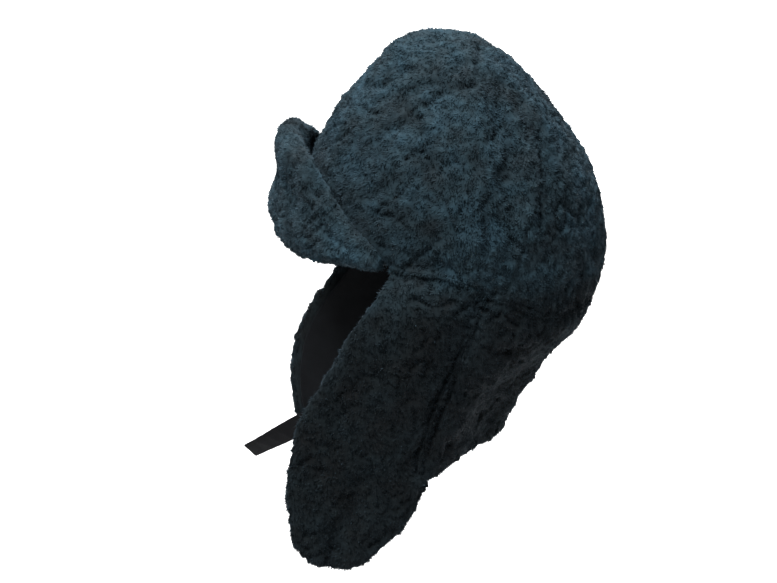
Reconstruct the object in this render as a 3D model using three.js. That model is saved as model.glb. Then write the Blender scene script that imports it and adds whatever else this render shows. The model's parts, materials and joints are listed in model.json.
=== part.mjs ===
// A trapper cap of short sheared fur: a tall soft crown, a thick front flap turned up over the
// forehead, two long ear flaps that hang forward, a neck flap that follows the nape, a plain
// woven lining inside the ear flaps, and one square-cut tie tape sewn to the lining of the
// right ear flap.
//
// Millimetres, +Z up. The origin is the centre of the head opening, at the rim over the temples.
// The face looks along -Y and the wearer's left is +X.
//
// Every fur piece is a padded wall: pelt, pile and padding together. The three hanging flaps
// are cut from one curtain surface, so that they meet edge to edge, and the curtain starts
// flush under the rim of the crown.

import * as THREE from 'three';

// Head opening and crown
const headLength = 191;          // inside, front to back
const headWidth = 156;           // inside, side to side
const crownWall = 14;            // pelt, pile and padding of the crown
const crownHeight = 143;         // rim over the temples to the top of the crown
const crownBackDrop = 45;        // how much lower the rim lies at the back than at the ears
const cavityApex = 0.955;        // top point of the hollow, as a share of the height of its ceiling
const sewnRound = 3;             // rounding of a wall at a sewn edge
const roundMiddle = 0.4;         // where the middle of that rounding lies, as a share of its radius

// Front flap, turned up
const visorHeight = 84;          // lower fold to upper edge, at the middle of the forehead
const visorThickness = 27;       // at its fullest
const visorDip = 9;              // how far the fold hangs below the rim of the crown
const visorLean = 20;            // how far the upper edge stands away from the crown

// Ear flaps and neck flap
const flapWall = 12;             // pelt and pile
const earLength = 238;           // rim to tip
const earReach = 127.5;          // origin to the foremost point of an ear flap
const earSpread = 98;            // half the distance between the outsides of the tips
const earBulge = 6;              // how far the middle of an ear flap stands out
const earFold = 3.5;             // depth of its soft folds
const rightReach = 9;            // how much further forward the right ear flap hangs
const rightSwing = 0.8;          // share of earLength over which it swings forward
const neckDrop = 180;            // rim to the lower edge at the nape
const napeReach = 38;            // origin back to the outside of the flap at its lower edge
const crease = 2;                // depth of the crease at a seam

// Lining and tape
const liningWall = 1.6;
const liningInset = 9;           // bare fur edge round the lining
const insetMost = 0.4;           // most of the flap's width that the bare edge takes on one side
const tapeWidth = 20;
const tapeThickness = 1.6;
const tapeSewn = 46;             // length sewn to the lining and over the fur edge
const tapeFree = 53;             // length that stands free of the flap
const tapeRise = 16;             // how far above the tip of the flap it leaves the front edge
const tapeDroop = 30;            // degrees below the horizontal
const tapeTwist = 24;            // degrees that the free end turns its face upwards

// Clearances
const seamGap = 0.3;             // between pieces that are sewn edge to edge or face to face
const rimGap = 0.7;              // between the rim of the crown and the tops of the hanging flaps
const visorGap = 0.7;            // between the front flap and the crown that it lies on
const liningGap = 0.7;           // between the pelt and its lining
const tapeGap = 0.7;             // between the lining and the tape

// Where the pieces meet, in degrees round the crown from the middle of the forehead
const templeAngle = 62.5;        // front edge of an ear flap
const visorEndAngle = 62;        // end of the front flap
const earSeamAngle = 98;         // seam between ear flap and neck flap

// The crown, ring by ring. rise is a share of crownHeight. front and back are shares of half
// the outside length, side is a share of half the outside width.
const CROWN_ROWS = [
  { rise: -0.40, front: 0.980, back: 0.930, side: 0.985 },
  { rise: -0.31, front: 0.990, back: 0.962, side: 0.990 },
  { rise: -0.13, front: 1.000, back: 1.008, side: 0.995 },
  { rise: 0.00, front: 1.000, back: 1.000, side: 1.000 },
  { rise: 0.15, front: 1.000, back: 0.957, side: 1.020 },
  { rise: 0.35, front: 0.965, back: 0.878, side: 0.995 },
  { rise: 0.55, front: 0.836, back: 0.706, side: 0.875 },
  { rise: 0.66, front: 0.740, back: 0.592, side: 0.770 },
  { rise: 0.74, front: 0.653, back: 0.505, side: 0.675 },
  { rise: 0.83, front: 0.560, back: 0.372, side: 0.545 },
  { rise: 0.90, front: 0.480, back: 0.262, side: 0.430 },
  { rise: 0.955, front: 0.400, back: 0.140, side: 0.300 },
  { rise: 0.985, front: 0.300, back: 0.010, side: 0.170 },
];
const apexSetback = -0.146;      // the top lies behind the middle by this share of half the length
const foldFade = 0.25;           // share of its length over which a fold of the crown fades at each end

// Soft folds of the crown. around is in degrees from the middle of the forehead, positive on
// the wearer's left, and lean is how far it moves from the bottom of the fold to its top.
// width is in degrees, from and to are shares of crownHeight, and deep is a share of crownWall,
// negative on a ridge.
const CROWN_FOLDS = [
  { around: 104, lean: 16, width: 7, from: 0.10, to: 0.95, deep: 0.29 },
  { around: 95, lean: 10, width: 6, from: -0.05, to: 0.60, deep: -0.13 },
  { around: 127, lean: 4, width: 7, from: -0.10, to: 0.70, deep: 0.22 },
  { around: 117, lean: 8, width: 6, from: 0.00, to: 0.70, deep: -0.12 },
  { around: 150, lean: -3, width: 8, from: -0.15, to: 0.60, deep: 0.17 },
  { around: 62, lean: -34, width: 8, from: 0.55, to: 0.97, deep: 0.23 },
  { around: 88, lean: -30, width: 8, from: 0.62, to: 0.97, deep: 0.21 },
  { around: 176, lean: 4, width: 8, from: 0.20, to: 0.95, deep: 0.19 },
  { around: -58, lean: 20, width: 8, from: 0.50, to: 0.95, deep: 0.21 },
  { around: -100, lean: -12, width: 8, from: 0.05, to: 0.90, deep: 0.26 },
  { around: -122, lean: 5, width: 8, from: -0.10, to: 0.70, deep: 0.19 },
  { around: -150, lean: 0, width: 9, from: -0.15, to: 0.65, deep: 0.19 },
];

// The front flap, station by station from the middle of the forehead to its end. around is a
// share of visorEndAngle, and the rest are shares of the flap's size at the middle.
const VISOR_STATIONS = [
  { around: 0.00, height: 1.00, thickness: 1.00, dip: 1.00, lean: 1.00 },
  { around: 0.25, height: 0.98, thickness: 0.98, dip: 0.90, lean: 0.95 },
  { around: 0.45, height: 0.87, thickness: 0.92, dip: 0.70, lean: 0.75 },
  { around: 0.62, height: 0.66, thickness: 0.84, dip: 0.50, lean: 0.50 },
  { around: 0.78, height: 0.45, thickness: 0.70, dip: 0.32, lean: 0.30 },
  { around: 0.90, height: 0.30, thickness: 0.56, dip: 0.16, lean: 0.15 },
  { around: 1.00, height: 0.18, thickness: 0.34, dip: 0.10, lean: 0.05 },
];

// The upright section of the front flap. up is a share of its height, out is how far its face
// stands out from the rim as a share of its thickness, and away is how far its back stands
// off the crown as a share of visorLean.
const VISOR_SECTION = [
  { up: 0.00, out: 0.42, away: 0.08 },
  { up: 0.03, out: 0.61, away: 0.01 },
  { up: 0.09, out: 0.76, away: 0.00 },
  { up: 0.18, out: 0.90, away: 0.00 },
  { up: 0.32, out: 1.00, away: 0.00 },
  { up: 0.44, out: 0.90, away: 0.00 },
  { up: 0.58, out: 0.76, away: 0.00 },
  { up: 0.72, out: 0.74, away: 0.00 },
  { up: 0.83, out: 0.76, away: 0.04 },
  { up: 0.91, out: 0.71, away: 0.28 },
  { up: 0.97, out: 0.56, away: 0.64 },
  { up: 1.00, out: 0.34, away: 0.96 },
];

// An ear flap, row by row. drop is a share of earLength. front and rear are shares of earReach
// ahead of the origin, frontOut and rearOut are shares of earSpread. The rear edge is the seam
// with the neck flap down to seamEnd, and the free lower edge below it.
const EAR_ROWS = [
  { drop: 0.000, front: 0.395, rear: -0.120, frontOut: 0.850, rearOut: 0.930 },
  { drop: 0.050, front: 0.455, rear: -0.112, frontOut: 0.890, rearOut: 0.930 },
  { drop: 0.140, front: 0.545, rear: -0.085, frontOut: 0.930, rearOut: 0.920 },
  { drop: 0.220, front: 0.630, rear: -0.045, frontOut: 0.945, rearOut: 0.905 },
  { drop: 0.300, front: 0.705, rear: -0.005, frontOut: 0.955, rearOut: 0.888 },
  { drop: 0.350, front: 0.765, rear: 0.030, frontOut: 0.960, rearOut: 0.876 },
  { drop: 0.430, front: 0.850, rear: 0.080, frontOut: 0.970, rearOut: 0.858 },
  { drop: 0.530, front: 0.930, rear: 0.140, frontOut: 0.980, rearOut: 0.842 },
  { drop: 0.640, front: 0.968, rear: 0.195, frontOut: 0.990, rearOut: 0.845 },
  { drop: 0.730, front: 0.982, rear: 0.228, frontOut: 0.995, rearOut: 0.870 },
  { drop: 0.800, front: 0.980, rear: 0.268, frontOut: 1.000, rearOut: 0.900 },
  { drop: 0.870, front: 0.968, rear: 0.345, frontOut: 1.005, rearOut: 0.935 },
  { drop: 0.905, front: 0.958, rear: 0.400, frontOut: 1.008, rearOut: 0.955 },
  { drop: 0.945, front: 0.910, rear: 0.450, frontOut: 1.010, rearOut: 0.975 },
  { drop: 0.980, front: 0.840, rear: 0.495, frontOut: 1.010, rearOut: 0.990 },
  { drop: 1.000, front: 0.765, rear: 0.540, frontOut: 1.010, rearOut: 1.000 },
];
const seamEnd = 0.77;            // share of earLength where the seam reaches the lower edge
const seamEase = 0.05;           // share of earLength over which the sewn edge opens there
const levelling = 0.3;           // share of earLength over which the rows leave the slope of the rim
const lobeStart = 0.88;          // share of earLength where the lower edge begins to part into lobes

// Soft upright folds of an ear flap. across runs from 0 at the seam to 1 at the front edge and
// moves by lean down the fold, from and to are shares of earLength, and deep is a share of
// earFold. A fold fades in over topFade and out over lowFade of its length.
const EAR_FOLDS = [
  { across: 0.46, lean: 0.06, width: 0.090, from: 0.62, to: 1.15, deep: 1.00 },
  { across: 0.24, lean: 0.02, width: 0.080, from: 0.70, to: 1.15, deep: 0.50 },
  { across: 0.78, lean: -0.05, width: 0.100, from: 0.30, to: 0.72, deep: 0.50 },
];
const topFade = 0.4;
const lowFade = 0.2;

// The neck flap at the back, row by row. drop is a share of neckDrop, and back is a share of
// the way from napeReach out to half the outside length of the crown. drawn is how much the
// sides are drawn in towards the neck, from 0 where the flap is as round as the head to 1 where
// it runs almost straight from the nape to the seam.
const NECK_ROWS = [
  { drop: 0.00, back: 1.000, drawn: 0.0 },
  { drop: 0.25, back: 0.950, drawn: 0.0 },
  { drop: 0.33, back: 0.890, drawn: 0.1 },
  { drop: 0.41, back: 0.795, drawn: 0.3 },
  { drop: 0.48, back: 0.675, drawn: 0.5 },
  { drop: 0.56, back: 0.515, drawn: 0.7 },
  { drop: 0.62, back: 0.430, drawn: 0.8 },
  { drop: 0.68, back: 0.385, drawn: 0.9 },
  { drop: 0.73, back: 0.290, drawn: 1.0 },
  { drop: 0.80, back: 0.195, drawn: 1.0 },
  { drop: 0.90, back: 0.095, drawn: 1.0 },
  { drop: 1.00, back: 0.000, drawn: 1.0 },
];
const drawAcross = 0.22;         // most that the sides are drawn in, as a share of their width
const drawAlong = 0.13;          // and of their depth from nape to seam

// The lower edge of the neck flap. across runs from 0 at the nape to 1 at the seam, and deep
// is how far the edge hangs below neckDrop, as a share of neckDrop.
const NECK_EDGE = [
  { across: 0.00, deep: -0.010 },
  { across: 0.35, deep: -0.022 },
  { across: 0.70, deep: -0.038 },
  { across: 0.88, deep: -0.025 },
  { across: 1.00, deep: 0.010 },
];

// Mesh divisions. An ease of 1 draws them together towards both ends of the span.
const crownSides = 56;
const visorSteps = 30;
const visorEase = 0.3;
const earColumns = 20;
const earEase = 0.75;
const neckColumns = 36;
const neckColumnEase = 0.35;
const neckRows = 11;
const neckRowEase = 0.7;
const liningColumns = 12;
const liningEase = 0.5;
const firstRow = 1.2;            // nearest that a row lies to the end of the lining, in margins
const tapeSteps = 10;
const CROWN_LEVELS = [0.05, 0.13, 0.22, 0.32, 0.42, 0.52, 0.61, 0.69, 0.76, 0.83, 0.89, 0.94, 0.975];
const CAVITY_LEVELS = [0, 0.10, 0.22, 0.34, 0.46, 0.57, 0.67, 0.76, 0.84, 0.90];
const EAR_LEVELS = [
  0, 0.01, 0.03, 0.08, 0.14, 0.21, 0.28, 0.35, 0.42, 0.49, 0.56, 0.63, 0.70, 0.76, 0.82,
  0.87, 0.91, 0.945, 0.97, 0.988, 1.0,
];

const halfLength = headLength / 2 + crownWall;
const halfWidth = headWidth / 2 + crownWall;
const radians = THREE.MathUtils.degToRad;
const { clamp, lerp } = THREE.MathUtils;

function smoothstep(low, high, value) {
  const t = clamp((value - low) / (high - low), 0, 1);
  return t * t * (3 - 2 * t);
}

// An angle as the turn from the middle of the forehead, between -180 and 180 degrees.
function turnFrom(angle) {
  return ((angle + 540) % 360) - 180;
}

// A rounded furrow of height 1, as wide as width on each side of its middle.
function furrow(off, width) {
  return Math.exp(-((off / width) ** 2));
}

// A smooth curve through one column of a table, as a function of its key column.
function column(table, key, name) {
  const x = table.map((row) => row[key]);
  const y = table.map((row) => row[name]);
  const last = x.length - 1;
  const slope = x.map((_, i) => {
    const a = Math.max(0, i - 1);
    const b = Math.min(last, i + 1);
    return (y[b] - y[a]) / (x[b] - x[a]);
  });
  return (value) => {
    const v = clamp(value, x[0], x[last]);
    let i = 0;
    while (i < last - 1 && v > x[i + 1]) i += 1;
    const span = x[i + 1] - x[i];
    const t = (v - x[i]) / span;
    const t2 = t * t;
    const t3 = t2 * t;
    return (2 * t3 - 3 * t2 + 1) * y[i] + (t3 - 2 * t2 + t) * span * slope[i]
      + (3 * t2 - 2 * t3) * y[i + 1] + (t3 - t2) * span * slope[i + 1];
  };
}

// Shares of a span, evenly spaced at ease 0 and closer together at its ends at ease 1.
function shares(count, ease) {
  return Array.from({ length: count + 1 }, (_, i) => {
    const t = i / count;
    return lerp(t, (1 - Math.cos(Math.PI * t)) / 2, ease);
  });
}

// A geometry from points and triangles. The signed volume tells which way the faces point, and
// they are turned out if needed.
function closedGeometry(points, triangles) {
  const index = [...triangles];
  let volume = 0;
  for (let i = 0; i < index.length; i += 3) {
    const [a, b, c] = index.slice(i, i + 3).map((k) => points[k]);
    volume += a.dot(b.clone().cross(c));
  }
  if (volume < 0) index.reverse();
  const geometry = new THREE.BufferGeometry();
  const flat = points.flatMap((p) => [p.x, p.y, p.z]);
  geometry.setAttribute('position', new THREE.Float32BufferAttribute(flat, 3));
  geometry.setIndex(index);
  geometry.computeVertexNormals();
  return geometry;
}

// A closed body from rings that run from one pole to another.
function ringBody(startPole, rings, endPole) {
  const sides = rings[0].length;
  const points = [startPole, ...rings.flat(), endPole];
  const triangles = [];
  const at = (r, s) => 1 + r * sides + (s % sides);
  for (let s = 0; s < sides; s += 1) {
    triangles.push(0, at(0, s), at(0, s + 1));
    triangles.push(points.length - 1, at(rings.length - 1, s + 1), at(rings.length - 1, s));
    for (let r = 0; r < rings.length - 1; r += 1) {
      triangles.push(at(r, s), at(r + 1, s), at(r + 1, s + 1));
      triangles.push(at(r, s), at(r + 1, s + 1), at(r, s + 1));
    }
  }
  return closedGeometry(points, triangles);
}

// A closed slab between two faces with the same rows and columns.
function slab(outer, inner) {
  const rows = outer.length;
  const columns = outer[0].length;
  const points = [...outer.flat(), ...inner.flat()];
  const out = (r, c) => r * columns + c;
  const back = (r, c) => rows * columns + r * columns + c;
  const triangles = [];
  const quad = (a, b, c, d) => triangles.push(a, b, c, a, c, d);
  for (let r = 0; r < rows - 1; r += 1) {
    for (let c = 0; c < columns - 1; c += 1) {
      quad(out(r, c), out(r + 1, c), out(r + 1, c + 1), out(r, c + 1));
      quad(back(r, c), back(r, c + 1), back(r + 1, c + 1), back(r + 1, c));
    }
    const end = columns - 1;
    quad(out(r, 0), back(r, 0), back(r + 1, 0), out(r + 1, 0));
    quad(out(r, end), out(r + 1, end), back(r + 1, end), back(r, end));
  }
  for (let c = 0; c < columns - 1; c += 1) {
    const end = rows - 1;
    quad(out(0, c), out(0, c + 1), back(0, c + 1), back(0, c));
    quad(out(end, c), back(end, c), back(end, c + 1), out(end, c + 1));
  }
  return closedGeometry(points, triangles);
}

// Crown

const crownFront = column(CROWN_ROWS, 'rise', 'front');
const crownBack = column(CROWN_ROWS, 'rise', 'back');
const crownSide = column(CROWN_ROWS, 'rise', 'side');

// A point on the smooth outside of the crown, or offset outwards from it, on a level ring.
function ringPoint(angle, z, offset = 0) {
  const rise = z / crownHeight;
  const front = crownFront(rise) * halfLength + offset;
  const back = crownBack(rise) * halfLength + offset;
  const side = crownSide(rise) * halfWidth + offset;
  const a = radians(angle);
  const reach = Math.cos(a) > 0 ? front : back;
  return new THREE.Vector3(side * Math.sin(a), -reach * Math.cos(a), z);
}

// The rim is level over the forehead and the ears, and dips at the back.
const rimDipStart = 75;
const rimDipEnd = 140;

function rimHeight(angle) {
  return -crownBackDrop * smoothstep(rimDipStart, rimDipEnd, Math.abs(turnFrom(angle)));
}

function crownFoldDepth(angle, rise) {
  let depth = 0;
  for (const fold of CROWN_FOLDS) {
    const along = (rise - fold.from) / (fold.to - fold.from);
    const off = turnFrom(angle - fold.around - fold.lean * along);
    const ends = smoothstep(0, foldFade, along) * smoothstep(0, foldFade, 1 - along);
    depth += crownWall * fold.deep * ends * furrow(off, fold.width);
  }
  return depth;
}

function crownGeometry() {
  const angles = Array.from({ length: crownSides }, (_, s) => (360 * s) / crownSides);
  const rimRing = (up, inset) => angles.map((angle) => ringPoint(angle, rimHeight(angle) + up, -inset));
  const outer = CROWN_LEVELS.map((level) => angles.map((angle) => {
    const z = lerp(rimHeight(angle), crownHeight, level);
    return ringPoint(angle, z, -crownFoldDepth(angle, z / crownHeight));
  }));
  const ceiling = crownHeight - crownWall;
  const inner = CAVITY_LEVELS.map((level) => angles.map((angle) => {
    const p = ringPoint(angle, lerp(rimHeight(angle), crownHeight, level), -crownWall);
    p.z *= p.z > 0 ? ceiling / crownHeight : 1;
    return p;
  }));
  const apexY = apexSetback * halfLength;
  return ringBody(
    new THREE.Vector3(0, apexY, ceiling * cavityApex),
    [
      ...inner.reverse(),
      rimRing(0, sewnRound),
      rimRing(sewnRound * roundMiddle, sewnRound * roundMiddle),
      rimRing(sewnRound, 0),
      ...outer,
    ],
    new THREE.Vector3(0, apexY, crownHeight),
  );
}

// Front flap

function frontFlapGeometry() {
  const height = column(VISOR_STATIONS, 'around', 'height');
  const thickness = column(VISOR_STATIONS, 'around', 'thickness');
  const dip = column(VISOR_STATIONS, 'around', 'dip');
  const lean = column(VISOR_STATIONS, 'around', 'lean');
  const face = [];
  const back = [];
  for (const share of shares(visorSteps, visorEase)) {
    const turn = lerp(-1, 1, share);
    const around = Math.abs(turn);
    const angle = turn * visorEndAngle;
    const bottom = -visorDip * dip(around);
    const top = bottom + visorHeight * height(around);
    face.push(VISOR_SECTION.map((row) => {
      const rim = ringPoint(angle, 0, visorThickness * thickness(around) * row.out);
      rim.z = lerp(bottom, top, row.up);
      return rim;
    }));
    back.push(VISOR_SECTION.map((row) => {
      const away = visorGap + visorLean * lean(around) * row.away;
      return ringPoint(angle, lerp(bottom, top, row.up), away);
    }));
  }
  return slab(face, back);
}

// The curtain of the three hanging flaps. along runs from 0 at the nape to 1 at the seam and
// 2 at the front edge of the ear flap.

const earFront = column(EAR_ROWS, 'drop', 'front');
const earRear = column(EAR_ROWS, 'drop', 'rear');
const earFrontOut = column(EAR_ROWS, 'drop', 'frontOut');
const earRearOut = column(EAR_ROWS, 'drop', 'rearOut');
const neckBack = column(NECK_ROWS, 'drop', 'back');
const neckDrawn = column(NECK_ROWS, 'drop', 'drawn');
const neckEdge = column(NECK_EDGE, 'across', 'deep');
const rimBlend = 0.6;            // depth over which the curtain leaves the rim, as a share of crownBackDrop

function edgePoint(z, reach, out) {
  const drop = -z / earLength;
  return new THREE.Vector3(out(drop) * earSpread, -reach(drop) * earReach, z);
}

const seamPoint = (z) => edgePoint(z, earRear, earRearOut);
const frontPoint = (z) => edgePoint(z, earFront, earFrontOut);

function angleAlong(along) {
  if (along > 1) return lerp(earSeamAngle, templeAngle, along - 1);
  return lerp(180, earSeamAngle, along);
}

function curtainPoint(along, z) {
  const seam = seamPoint(z);
  const hang = new THREE.Vector3();
  if (along > 1) {
    hang.lerpVectors(seam, frontPoint(z), along - 1);
    hang.x += earBulge * Math.sin(Math.PI * (along - 1));
  } else {
    const turn = (along * Math.PI) / 2;
    const back = lerp(napeReach, halfLength, neckBack(-z / neckDrop));
    const drawn = neckDrawn(-z / neckDrop) * Math.sin(2 * turn) ** 2;
    const aside = Math.sin(turn) - drawAcross * drawn;
    const behind = Math.cos(turn) - drawAlong * drawn;
    hang.set(seam.x * aside, lerp(seam.y, back, behind), z);
  }
  const angle = angleAlong(along);
  const blend = smoothstep(0, crownBackDrop * rimBlend, rimHeight(angle) - z);
  return ringPoint(angle, z).lerp(hang, blend);
}

// The same surface moved inwards by depth. The normal is taken within low and high, the ends of
// the piece, and across the seam where the pieces are sewn. It is level where the curtain meets
// the rim of the crown.
function curtainAt(along, z, depth, low, high) {
  const nudge = 0.02;
  const step = 0.5;
  const from = curtainPoint(Math.max(low, along - nudge), z);
  const to = curtainPoint(Math.min(high, along + nudge), z);
  const down = curtainPoint(along, z - step).sub(curtainPoint(along, z + step));
  const inward = down.cross(to.sub(from)).normalize();
  inward.z *= smoothstep(0, 2 * flapWall, rimHeight(angleAlong(along)) - z);
  inward.normalize();
  return curtainPoint(along, z).addScaledVector(inward, depth);
}

// How much a rounded edge takes off the wall at a distance from that edge.
function edgeLoss(distance, radius) {
  const t = clamp(1 - distance / radius, 0, 1);
  return radius * (1 - Math.sqrt(1 - t * t));
}

// The depths of the outer and inner face, with the wall rounded off towards its edges. A flat
// of 2 * edgeFlat is left along each edge.
const edgeFlat = 1.2;
const freeRound = flapWall / 2;

function wallDepths(edges) {
  const loss = Math.max(...edges.map(([distance, radius]) => edgeLoss(distance, radius)));
  const kept = Math.min(loss, flapWall / 2 - edgeFlat);
  return [kept, flapWall - kept];
}

function earFoldDepth(across, drop) {
  let depth = 0;
  for (const fold of EAR_FOLDS) {
    const down = (drop - fold.from) / (fold.to - fold.from);
    const ends = smoothstep(0, topFade, down) * smoothstep(0, lowFade, 1 - down);
    depth += earFold * fold.deep * ends * furrow(across - fold.across - fold.lean * down, fold.width);
  }
  return depth;
}

// How deep the outer face lies at the seam between ear flap and neck flap.
function seamCrease(distance) {
  return crease * furrow(distance, 2 * sewnRound);
}

// The height of a point of an ear flap. Its top follows the rim of the crown, and each fold
// that reaches the lower edge lifts it there, which parts the edge into lobes.
function earHeight(along, drop) {
  const top = rimHeight(angleAlong(along)) - rimGap;
  const lift = earFoldDepth(along - 1, drop) * smoothstep(lobeStart, 1, drop);
  return -earLength * drop + top * (1 - smoothstep(0, levelling, drop)) + lift;
}

// Turns points of the left side into those of the right side, which hangs further forward.
function toRight(point) {
  point.x *= -1;
  const swing = smoothstep(0, rightSwing, -point.z / earLength);
  point.y -= rightReach * swing * smoothstep(0, -earReach, point.y);
  return point;
}

// Puts the rows of a face on one side of the cap.
function onSide(side, rows) {
  return side > 0 ? rows : rows.map((row) => row.map(toRight));
}

function earFlapGeometry(side) {
  const face = [];
  const back = [];
  for (const drop of EAR_LEVELS) {
    const width = seamPoint(-earLength * drop).distanceTo(frontPoint(-earLength * drop));
    const sewn = 1 - smoothstep(seamEnd - seamEase, seamEnd, drop);
    const faceRow = [];
    const backRow = [];
    for (const share of shares(earColumns, earEase)) {
      const across = lerp(seamGap / 2 / width, 1, share);
      const along = 1 + across;
      const z = earHeight(along, drop);
      const [from, to] = wallDepths([
        [across * width, lerp(freeRound, sewnRound, sewn)],
        [(1 - across) * width, freeRound],
        [earLength * (1 - drop), freeRound],
        [earLength * drop, sewnRound],
      ]);
      const fold = earFoldDepth(across, drop);
      const furrowed = from + fold + sewn * seamCrease(across * width);
      faceRow.push(curtainAt(along, z, Math.min(furrowed, to - 2 * edgeFlat), 1 - sewn, 2));
      backRow.push(curtainAt(along, z, to, 1 - sewn, 2));
    }
    face.push(faceRow);
    back.push(backRow);
  }
  return slab(onSide(side, face), onSide(side, back));
}

function neckFlapGeometry() {
  const face = [];
  const back = [];
  for (const drop of shares(neckRows, neckRowEase)) {
    const faceRow = [];
    const backRow = [];
    for (const share of shares(neckColumns, neckColumnEase)) {
      const turn = lerp(-1, 1, share);
      const along = Math.abs(turn);
      const top = rimHeight(angleAlong(along)) - rimGap;
      const bottom = -neckDrop * (1 + neckEdge(along));
      const z = lerp(top, bottom, drop);
      const arc = (seamPoint(z).x * Math.PI) / 2;
      const held = Math.min(along, 1 - seamGap / 2 / arc);
      const [from, to] = wallDepths([
        [(1 - held) * arc, sewnRound],
        [(top - bottom) * drop, sewnRound],
        [(top - bottom) * (1 - drop), freeRound],
      ]);
      const furrowed = from + seamCrease((1 - held) * arc);
      const points = [curtainAt(held, z, furrowed, -1, 2), curtainAt(held, z, to, -1, 2)];
      if (turn < 0) points.forEach(toRight);
      faceRow.push(points[0]);
      backRow.push(points[1]);
    }
    face.push(faceRow);
    back.push(backRow);
  }
  return slab(face, back);
}

// Lining

const liningDepth = flapWall + liningGap;

function earLiningGeometry(side) {
  const face = [];
  const back = [];
  const margin = liningInset / earLength;
  const nearest = firstRow * margin;
  const inside = EAR_LEVELS.filter((level) => level > nearest && level < 1 - nearest);
  for (const drop of [margin, ...inside, 1 - margin]) {
    const width = seamPoint(-earLength * drop).distanceTo(frontPoint(-earLength * drop));
    const inset = Math.min(liningInset / width, insetMost);
    const row = shares(liningColumns, liningEase).map((s) => 1 + lerp(inset, 1 - inset, s));
    face.push(row.map((along) => curtainAt(along, earHeight(along, drop), liningDepth, 1, 2)));
    back.push(row.map((along) => curtainAt(along, earHeight(along, drop), liningDepth + liningWall, 1, 2)));
  }
  return slab(onSide(side, face), onSide(side, back));
}

// Tie tape. It leaves the inner face of the right ear flap at its front edge.

function tieTapeGeometry() {
  const nearSide = liningDepth + liningWall + tapeGap;
  const exitZ = -earLength + tapeRise;
  const edge = toRight(curtainAt(2, exitZ, nearSide, 1, 2));
  const slope = radians(tapeDroop);
  const forward = new THREE.Vector3(0, -Math.cos(slope), -Math.sin(slope));
  const rows = shares(tapeSteps, 0).map((share) => {
    const distance = lerp(-tapeSewn, tapeFree, share);
    return edge.clone().addScaledVector(forward, distance);
  });
  const across = new THREE.Vector3(0, -Math.sin(slope), Math.cos(slope));
  const inward = new THREE.Vector3(1, 0, 0);
  const strip = (depth) => rows.map((p, i) => {
    const free = lerp(-tapeSewn, tapeFree, i / tapeSteps) / tapeFree;
    const twist = -radians(tapeTwist) * smoothstep(0, 1, free);
    const wide = across.clone().applyAxisAngle(forward, twist);
    const thick = inward.clone().applyAxisAngle(forward, twist);
    return [-tapeWidth / 2, tapeWidth / 2].map(
      (w) => p.clone().addScaledVector(wide, w).addScaledVector(thick, depth),
    );
  });
  return slab(strip(0), strip(tapeThickness));
}

// Materials

const fur = () => new THREE.MeshStandardMaterial({ color: 0x1b2226, roughness: 0.95, metalness: 0 });
const lining = () => new THREE.MeshStandardMaterial({ color: 0x202124, roughness: 0.8, metalness: 0 });
const tape = () => new THREE.MeshStandardMaterial({ color: 0x1f1d21, roughness: 0.7, metalness: 0 });

const cap = new THREE.Group();

function addPiece(name, geometry, material) {
  const mesh = new THREE.Mesh(geometry, material);
  mesh.name = name;
  cap.add(mesh);
}

addPiece('crown', crownGeometry(), fur());
addPiece('front_flap', frontFlapGeometry(), fur());
addPiece('neck_flap', neckFlapGeometry(), fur());
for (const [name, side] of [['left', 1], ['right', -1]]) {
  addPiece(`ear_flap_${name}`, earFlapGeometry(side), fur());
  addPiece(`ear_lining_${name}`, earLiningGeometry(side), lining());
}
addPiece('tie_tape', tieTapeGeometry(), tape());

export default cap;
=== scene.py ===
"""The looks of a trapper cap of short sheared fur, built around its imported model.

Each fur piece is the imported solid, smoothed, folded and clumped, and covered with leaning tufts
of pile. Metres, +Z up, face towards -Y, wearer's left towards +X.
"""

import json
import math

import bpy
import numpy as np
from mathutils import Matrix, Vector, noise
from mathutils.bvhtree import BVHTree

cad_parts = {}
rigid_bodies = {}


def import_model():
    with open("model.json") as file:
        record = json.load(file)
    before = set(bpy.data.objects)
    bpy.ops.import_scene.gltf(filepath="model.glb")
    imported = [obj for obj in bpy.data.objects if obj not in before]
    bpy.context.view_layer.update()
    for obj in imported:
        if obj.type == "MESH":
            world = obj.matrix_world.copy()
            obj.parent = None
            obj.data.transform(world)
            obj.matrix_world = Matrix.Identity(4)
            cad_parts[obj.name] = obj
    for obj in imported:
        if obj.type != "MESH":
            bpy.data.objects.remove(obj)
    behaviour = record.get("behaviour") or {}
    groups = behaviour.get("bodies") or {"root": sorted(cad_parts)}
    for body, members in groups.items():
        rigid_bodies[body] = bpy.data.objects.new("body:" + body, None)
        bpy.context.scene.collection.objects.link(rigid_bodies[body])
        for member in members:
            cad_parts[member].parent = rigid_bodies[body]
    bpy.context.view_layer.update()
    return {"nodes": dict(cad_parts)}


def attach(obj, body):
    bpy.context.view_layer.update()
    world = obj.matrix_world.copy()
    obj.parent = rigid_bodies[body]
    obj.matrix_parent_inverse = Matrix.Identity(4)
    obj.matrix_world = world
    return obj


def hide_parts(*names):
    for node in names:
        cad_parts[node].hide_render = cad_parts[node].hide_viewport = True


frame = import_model()

# Camera, at the photograph's angle
CAMERA_TARGET = Vector((0.0, -0.049, -0.055))
CAMERA_ELEVATION = math.radians(25)
CAMERA_DISTANCE = 1.0
IMAGE_WIDTH = 777
FOCAL_PIXELS = 1333
SENSOR = 36.0

# A pair (low, high) gives the two values between which something fades in or out.

# Skin under the pile
VOXEL = 0.0025                          # mesh spacing of a skin
SMOOTH_ROUNDS = 5
SMOOTH_FACTOR = 0.5
WELD_DIGITS = 6                         # packed points that agree to so many digits are one point
SKIN_SINK = 0.0006                      # how far it lies inside its solid, to leave room for the pile

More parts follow.
